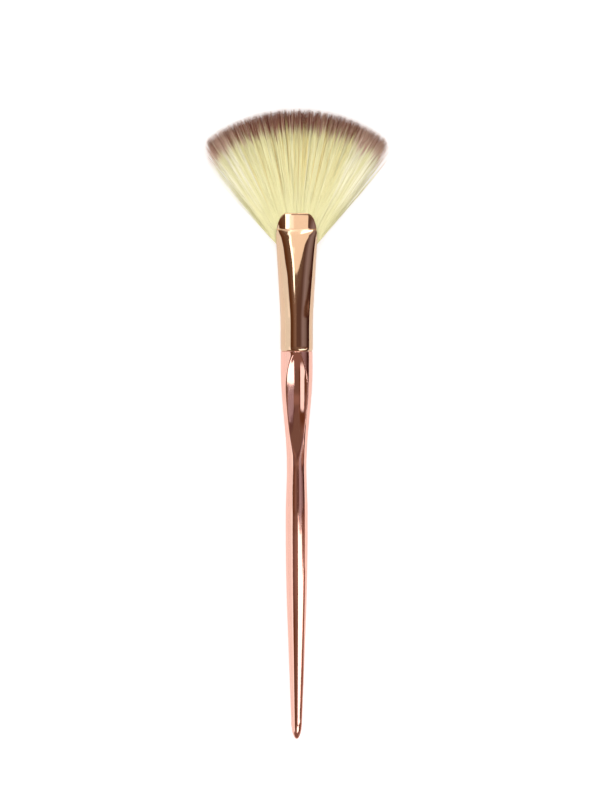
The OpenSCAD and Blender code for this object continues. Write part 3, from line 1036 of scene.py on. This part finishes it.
def makeRoom():
    world = bpy.data.worlds.new("room")
    bpy.context.scene.world = world
    world.use_nodes = True
    tree = world.node_tree
    background = tree.nodes["Background"]
    place = addNode(tree, "ShaderNodeTexCoord").outputs["Generated"]
    split = addNode(tree, "ShaderNodeSeparateXYZ")
    tree.links.new(place, split.inputs[0])
    dx, dy, dz = split.outputs
    across = addMath(tree, "MULTIPLY", addMath(tree, "ARCTAN2", dx, dz), 180 / math.pi)
    # which part of the brush mirrors this direction: the fan's side is high, the handle's tip low
    part = addMath(tree, "ADD", dy, addMath(tree, "MULTIPLY", dz, studio["restTilt"]))
    onHandle = addRange(tree, part, *room["waistTurn"], 1, 0)
    nearTip = addRange(tree, part, *room["tipTurn"], 1, 0)
    onTip = addMath(tree, "MULTIPLY", nearTip, addRange(tree, part, *room["tipTurnBack"], 0, 1))
    onFan = addRange(tree, part, *room["fanTurn"], 0, 1)
    colour = roomTones(tree, across, room["ferruleSide"])
    for share, side in ((onHandle, "waistSide"), (onTip, "tipSide"), (onFan, "fanSide")):
        colour = mixColours(tree, share, colour, roomTones(tree, across, room[side]))
    # the bright left side, with a brighter strip beside its edge
    shift = addRange(tree, part, *room["leftEdgeTurn"], 0, room["leftEdgeBack"])
    towardsLeft = addMath(tree, "MULTIPLY", addMath(tree, "ADD", across, shift), -1)
    fromEdge = addMath(tree, "SUBTRACT", towardsLeft, room["leftEdge"])
    strip = addMath(
        tree, "MULTIPLY", addRange(tree, fromEdge, *room["stripFade"], room["brightStrip"], 0), onHandle
    )
    left = addNode(tree, "ShaderNodeCombineColor")
    brightness = addMath(tree, "ADD", strip, room["bright"])
    for socket in left.inputs:
        tree.links.new(brightness, socket)
    onLeft = addRange(tree, fromEdge, -room["leftEdgeBlend"], room["leftEdgeBlend"], 0, 1)
    colour = mixColours(tree, onLeft, colour, left.outputs[0])
    for end in ("handleEnd", "fanEnd"):
        colour = mixColours(tree, addRange(tree, dy, *room[end + "Turn"], 0, 1), colour, room[end])
    tree.links.new(colour, background.inputs["Color"])
    background.inputs["Strength"].default_value = 1.0


# Soft boxes and cards that lie level, by their corners in millimetres. They hang over the brush at the
# studio's card height, unless they have a height of their own, in metres too.
cards = {
    "rightBox": {
        "corners": (
            (50, -43), (110, -50), (190, -55), (270, -57), (315, -62), (361, -80), (503, -103),
            (820, -128), (1192, -156), (1192, -250), (600, -185), (105, -158), (75, -110),
        ),
        "glow": (2.2, 2.2, 2.2),
    },
    "greyPanel": {
        "corners": (
            (110, -50), (190, -55), (225, -56), (225, -51), (290, -46), (290, -10), (200, -10),
            (190, 0), (118, 0),
        ),
        "glow": (0.40, 0.34, 0.38),
    },
    "whiteEdge": {
        "corners": (
            (-28, 42), (-22, 59), (-25, 76), (-33, 140), (-24, 271), (-5, 480), (-5, 620),
            (-12, 620), (-12, 480), (-37, 271), (-57, 140), (-54, 105), (-46, 66), (-48, 42),
        ),
        "glow": (2.8, 2.8, 2.8),
    },
    "peachCard": {
        "corners": (
            (-22, 55), (4, 56), (26, 62), (50, 77), (68, 106), (82, 150), (140, 271), (130, 480),
            (130, 620), (-5, 620), (-5, 480), (-24, 271), (-33, 140), (-25, 76),
        ),
        "glow": (1.2, 1.06, 0.95),
    },
    "lensCard": {
        "corners": ((6, 320), (130, 320), (130, 640), (6, 640)),
        "glow": (3.0, 3.0, 3.0),
        "height": 0.217,
    },
    "creamEdge": {
        "corners": ((-29, 95), (-13, 95), (-11, 125), (-31, 125)),
        "glow": (1.6, 1.5, 1.45),
        "height": 0.217,
    },
    "tipCard": {  # only the handle's tip mirrors it
        "corners": ((14, -122), (120, -130), (120, -170), (14, -160)),
        "glow": (2.2, 2.2, 2.2),
        "height": 0.1,
    },
    "brownStrip": {  # lies on the table beside the handle, and only the metal sees it
        "corners": ((5, -110), (48, -110), (48, -45), (20, -45), (5, -75)),
        "glow": (0.30, 0.15, 0.11),
        "height": 0.0001,
        "mirroredOnly": True,
    },
}
# dark flags that stand on the table at the right, by y and z of their corners in millimetres
flags = {
    "darkFlag": {"corners": ((-24, 0), (-24, 9), (100, 9), (100, 0)), "glow": (0.05, 0.015, 0.012)},
    "brownFlag": {"corners": ((-110, 0), (-110, 9), (-24, 9), (-24, 0)), "glow": (0.32, 0.18, 0.14)},
}


def makeCard(name, card, corners):
    piece = makeSheet(name, corners)
    material = bpy.data.materials.new(name + "Light")
    material.use_nodes = True
    tree = material.node_tree
    tree.nodes.clear()
    full = max(card["glow"])
    glow = addNode(tree, "ShaderNodeEmission")
    glow.inputs["Color"].default_value = (*[share / full for share in card["glow"]], 1)
    glow.inputs["Strength"].default_value = full
    output = addNode(tree, "ShaderNodeOutputMaterial")
    tree.links.new(glow.outputs[0], output.inputs["Surface"])
    piece.data.materials.append(material)
    piece.visible_camera = False
    piece.visible_shadow = False
    piece.visible_diffuse = not card.get("mirroredOnly", False)


def makeLamps():
    # a wide lamp over everything evens out the light; the metal doesn't mirror it
    data = bpy.data.lights.new("overheadFill", "AREA")
    data.shape = "SQUARE"
    data.size = studio["fillSize"]
    # a square lamp's radiance is its energy over four times its area
    data.energy = studio["fillRadiance"] * 4 * studio["fillSize"] ** 2
    fill = bpy.data.objects.new("overheadFill", data)
    bpy.context.scene.collection.objects.link(fill)
    fill.location = (0, 0, studio["fillHeight"])
    fill.visible_camera = False
    fill.visible_glossy = False
    for name, card in cards.items():
        height = card.get("height", studio["cardHeight"])
        makeCard(name, card, [(x * mm, y * mm, height) for x, y in card["corners"]])
    for name, flag in flags.items():
        makeCard(name, flag, [(studio["flagAt"], y * mm, z * mm) for y, z in flag["corners"]])


def makeCamera():
    data = bpy.data.cameras.new("camera")
    data.sensor_fit = "AUTO"
    data.sensor_width = studio["sensor"]
    data.lens = studio["sensor"] * studio["cameraHeight"] / studio["frameHeight"]
    data.clip_start = 0.05
    data.clip_end = 50
    camera = bpy.data.objects.new("camera", data)
    bpy.context.scene.collection.objects.link(camera)
    camera.location = Vector(studio["frameMiddle"]) + Vector((0, 0, studio["cameraHeight"]))
    bpy.context.scene.camera = camera


makeHandle()
makeFerrule()
makeBristles()
dressGlue()
makeTable()
makeRoom()
makeLamps()
makeCamera()
bpy.context.scene.view_settings.view_transform = "Standard"
print("studio set")
